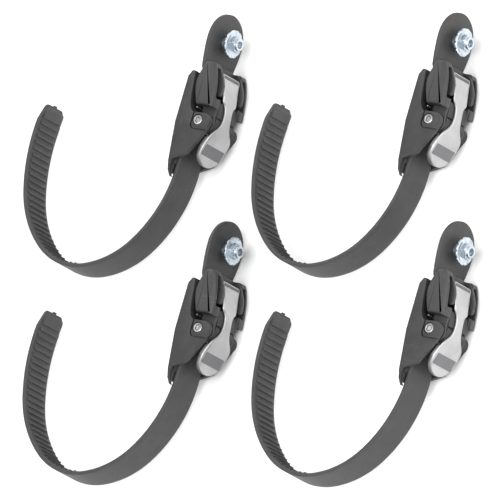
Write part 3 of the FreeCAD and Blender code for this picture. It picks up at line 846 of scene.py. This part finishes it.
# flange outline: a circle less a rounded notch at each step of the angle
def flangeShape():
    v = hardwareValues
    angle = np.linspace(0, 2 * math.pi, 288, endpoint=False)
    part = np.mod(angle / (2 * math.pi) * v["notches"], 1.0) - 0.5
    notch = v["notchDepth"] * np.exp(-(part / v["notchWidth"]) ** 4)
    plan = [(-2.5, v["bolt"] + 0.03, 0), (-2.5, v["sleeve"], 0), (v["flangeLow"] - 0.05, v["sleeve"], 0),
            (v["flangeLow"], v["sleeve"] + 0.3, 0), (v["flangeLow"], 8.0, 0), (v["flangeLow"], 9.0, 1),
            (v["flangeLow"] + 0.1, 9.4, 1), (v["flangeLow"] + 0.3, v["flangeRadius"], 1),
            (v["flangeHigh"] - 0.35, v["flangeRadius"], 1), (v["flangeHigh"] - 0.12, 9.4, 1),
            (v["flangeHigh"], 9.05, 1), (v["flangeHigh"], v["ringOut"], 0),
            (v["flangeHigh"] - v["ringDepth"], v["ringOut"] - v["ringSlope"], 0),
            (v["flangeHigh"] - v["ringDepth"], v["ringIn"] + v["ringSlope"], 0),
            (v["flangeHigh"], v["ringIn"], 0), (v["flangeHigh"], v["bolt"] + 0.03, 0)]
    notched = np.array([p[2] for p in plan])[:, None]
    radii = np.array([p[1] for p in plan])[:, None] - notched * notch[None]
    return turned([p[0] for p in plan], radii, (0, v["y"], 0), "x")


# hexagon cut by a cone at its ends: the smaller of the hexagon's radius and the chamfer's
def hexRings(plan, flats, count=180):
    angle = np.linspace(0, 2 * math.pi, count, endpoint=False)
    outline = hexRadius(angle, flats)
    rows = []
    for kind, radius in plan:
        if kind == "hex":
            rows.append(np.minimum(outline, radius))
        else:
            rows.append(np.full(count, radius))
    return np.array(rows)


def nutShape():
    v = hardwareValues
    corner = v["flats"] / math.sqrt(3)
    seat = v["flangeHigh"] + 0.02
    top = v["nutTop"]
    high = v["collarTop"]
    floor = v["boreFloor"]
    places = [seat, seat, seat + 0.3, top - 0.6, top - 0.25, top - 0.05, top, top, top + 0.25, high - 0.4,
              high - 0.1, high, high, high - 0.15, floor + 0.1, floor, floor]
    collar = v["collar"]
    bore = v["collarBore"]
    plan = [("round", v["bolt"]), ("hex", corner - 0.35), ("hex", corner), ("hex", corner),
            ("hex", corner - 0.22), ("hex", v["flats"] / 2 + 0.1), ("round", v["flats"] / 2 - 0.15),
            ("round", collar + 0.12), ("round", collar), ("round", collar), ("round", collar - 0.12),
            ("round", collar - 0.35), ("round", bore + 0.35), ("round", bore), ("round", bore),
            ("round", bore), ("round", v["bolt"])]
    return turned(places, hexRings(plan, v["flats"]), (0, v["y"], 0), "x")


# hexagon head behind the tongue, shank and a dished end inside the nut
def boltShape():
    v = hardwareValues
    corner = v["flats"] / math.sqrt(3)
    back = -v["strapThick"] - v["headDepth"]
    places = [back + 0.15, back + 0.15, back, back, back + 0.25, back + 0.6, -v["strapThick"] - 0.25,
              -v["strapThick"], -v["strapThick"], v["boltEnd"] - 0.5, v["boltEnd"], v["boltEnd"]]
    plan = [("round", 0.02), ("round", 3.4), ("round", 3.7), ("round", 4.75), ("hex", corner - 0.3),
            ("hex", corner), ("hex", corner), ("round", v["flats"] / 2 - 0.1), ("round", v["bolt"] - 0.02),
            ("round", v["bolt"] - 0.02), ("round", v["bolt"] - 0.45), ("round", 0.02)]
    return turned(places, hexRings(plan, v["flats"]), (0, v["y"], 0), "x")


rivetValues = {"spots": [(20, -6), (20, 6), (-22, -6), (-22, 6)], "back": -6.4, "head": 3.4, "rise": 0.85,
               "shank": 1.97}


def rivetShapes():
    v = rivetValues
    swing = np.linspace(0, 1, 8)
    domePlaces = v["back"] - v["rise"] * np.sqrt(np.maximum(1 - swing ** 2, 0))
    domeRadii = np.maximum(v["head"] * swing, 0.02)
    places = list(domePlaces) + [v["back"], -0.15, -0.02, -0.02]
    radii = list(domeRadii) + [v["shank"], v["shank"], v["shank"] - 0.15, 0.02]
    rings = np.repeat(np.array(radii)[:, None], 40, axis=1)
    return [turned(places, rings, (0, y, z), "x") for y, z in v["spots"]]


screwValues = {"headLow": 16.6, "headHigh": 20.15, "head": 3.5, "shank": 1.98, "end": -19.55, "socket": 4.2,
               "socketFloor": 18.0, "knurls": 30, "knurlDepth": 0.07, "nutFlats": 7.0, "nutLow": -19.75,
               "nutHigh": -16.65}


# socket head with a knurled side, a rolled top edge and a hexagon well
def screwShape():
    v = screwValues
    count = 360
    angle = np.linspace(0, 2 * math.pi, count, endpoint=False)
    knurl = v["knurlDepth"] * (0.5 + 0.5 * np.cos(angle * v["knurls"])) ** 2
    well = hexRadius(angle, v["socket"])
    plain = np.ones(count)
    low = v["headLow"]
    high = v["headHigh"]
    head = v["head"]
    rows = [(v["end"], plain * 0.02), (v["end"], plain * (v["shank"] - 0.3)),
            (v["end"] + 0.35, plain * v["shank"]), (low, plain * v["shank"]), (low, plain * (head - 0.2)),
            (low + 0.2, head - knurl), (high - 0.7, head - knurl), (high - 0.55, plain * (head - 0.06)),
            (high - 0.2, plain * (head - 0.18)), (high, plain * (head - 0.5)), (high, plain * 2.75),
            (high - 0.12, well + 0.12), (high - 0.3, well), (v["socketFloor"], well),
            (v["socketFloor"] - 0.4, plain * 0.02)]
    centre = (pivotPlace["x"], pivotPlace["y"], 0)
    return turned([r[0] for r in rows], np.array([r[1] for r in rows]), centre, "z")


def pivotNutShape():
    v = screwValues
    corner = v["nutFlats"] / math.sqrt(3)
    places = [v["nutLow"], v["nutLow"], v["nutLow"] + 0.3, v["nutHigh"] - 0.2, v["nutHigh"], v["nutHigh"]]
    plan = [("round", v["shank"] + 0.02), ("hex", v["nutFlats"] / 2 + 0.1), ("hex", corner), ("hex", corner),
            ("hex", corner - 0.2), ("round", v["shank"] + 0.02)]
    return turned(places, hexRings(plan, v["nutFlats"]), (pivotPlace["x"], pivotPlace["y"], 0), "z")


# torsion spring: a helix about the pivot and a leg that runs outwards and bends under the wing
springValues = {"wire": 0.38, "mean": 3.3, "low": 7.5, "turns": 2.3, "leave": 120.0, "reach": 10.6,
                "legZ": 10.1, "bend": 1.2, "end": 17.4}


def springShape():
    v = springValues
    leave = math.radians(v["leave"])
    start = leave - v["turns"] * 2 * math.pi
    angle = np.linspace(start, leave, 120)
    rise = np.linspace(v["low"], v["legZ"] - 0.3, 120)
    coil = np.stack([pivotPlace["x"] + v["mean"] * np.cos(angle),
                     pivotPlace["y"] + v["mean"] * np.sin(angle), rise], axis=1)
    out = np.array([math.cos(leave), math.sin(leave), 0])
    base = np.array([pivotPlace["x"], pivotPlace["y"], v["legZ"]])
    reach = np.linspace(v["mean"] + 0.9, v["reach"] - v["bend"], 8)
    leg = base + out * reach[:, None]
    swing = np.linspace(0, math.pi / 2, 8)[1:]
    bend = (base + out * (v["reach"] - v["bend"] + v["bend"] * np.sin(swing))[:, None]
            + np.array([0, 0, 1]) * (v["bend"] * (1 - np.cos(swing)))[:, None])
    rise = np.linspace(v["legZ"] + v["bend"] + 0.4, v["end"], 8)
    climb = np.stack([np.full(8, bend[-1, 0]), np.full(8, bend[-1, 1]), rise], axis=1)
    return tubeAlong(np.concatenate([coil, leg, bend, climb]), v["wire"])


flangePart = flangeShape()
nutPart = nutShape()
boltPart = boltShape()
rivetParts = rivetShapes()
screwPart = screwShape()
pivotNutPart = pivotNutShape()
springPart = springShape()
for number in straps:
    body = "strap_%d" % number
    addPiece("flangedBush%d" % number, [flangePart], number, body, "zinc_steel",
             [body + "_flanged_bush"], 34.0)
    addPiece("flangeNut%d" % number, [nutPart], number, body, "zinc_steel", [body + "_flange_nut"], 26.0)
    addPiece("mountBolt%d" % number, [boltPart], number, body, "zinc_steel", [body + "_mount_bolt"], 26.0)
    addPiece("frameRivets%d" % number, rivetParts, number, body, "zinc_steel", [body + "_frame_rivets"], 40.0)
    addPiece("pivotScrew%d" % number, [screwPart], number, body, "screw_steel", [body + "_pivot_screw"], 30.0)
    addPiece("pivotNut%d" % number, [pivotNutPart], number, body, "screw_steel", [body + "_pivot_nut"], 26.0)
    addPiece("handleSpring%d" % number, [springPart], number, body, "spring_steel",
             [body + "_handle_spring"], 60.0)
print("fasteners and springs made")


# CAD shapes that only need softened edges: a merged copy with its flat faces joined, then a bevel
softValues = {
    "buckle_frame": {"slot": "buckle_plastic", "bevel": 0.55, "body": "strap_%d"},
    "lever_core": {"slot": "buckle_plastic", "bevel": 0.3, "body": "release_%d"},
    "drive_pawl": {"slot": "pawl_steel", "bevel": 0.15, "body": "pawl_%d"},
}


def softenedCopy(number, nodeName, values):
    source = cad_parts["strap_%d_%s" % (number, nodeName)]
    mesh = source.data.copy()
    work = bmesh.new()
    work.from_mesh(mesh)
    bmesh.ops.remove_doubles(work, verts=work.verts, dist=1e-6)
    flatAngle = math.radians(1.0)
    bmesh.ops.dissolve_limit(work, angle_limit=flatAngle, verts=work.verts, edges=work.edges)
    work.to_mesh(mesh)
    work.free()
    mesh.materials.clear()
    mesh.materials.append(finishes[values["slot"]])
    mesh.shade_smooth()
    words = nodeName.split("_")
    piece = bpy.data.objects.new(words[0] + words[1].capitalize() + str(number), mesh)
    bpy.context.scene.collection.objects.link(piece)
    bevel = piece.modifiers.new("edges", "BEVEL")
    bevel.width = values["bevel"] * mm
    bevel.segments = 3
    bevel.limit_method = "ANGLE"
    bevel.angle_limit = math.radians(32)
    bevel.use_clamp_overlap = True
    bevel.harden_normals = True
    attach(piece, values["body"] % number)
    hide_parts(source.name)


for number in straps:
    for nodeName, values in softValues.items():
        softenedCopy(number, nodeName, values)
print("buckle frames, cores and pawls made")


# floor
def makeFloor():
    material, tree, shader = newMaterial("paleFloor")
    tone = rampNode(tree, noiseNode(tree, objectPlace(tree), 3.0), 0.2, 0.8)
    colour = blendColours(tree, tone, (0.90, 0.90, 0.90), (0.93, 0.93, 0.93))
    tree.links.new(colour, shader.inputs["Base Color"])
    shader.inputs["Roughness"].default_value = 0.8
    mesh = bpy.data.meshes.new("floor")
    size = 6.0
    corners = [(-size, -size, 0), (size, -size, 0), (size, size, 0), (-size, size, 0)]
    mesh.from_pydata(corners, [], [(0, 1, 2, 3)])
    mesh.materials.append(material)
    floor = bpy.data.objects.new("floor", mesh)
    bpy.context.scene.collection.objects.link(floor)


makeFloor()
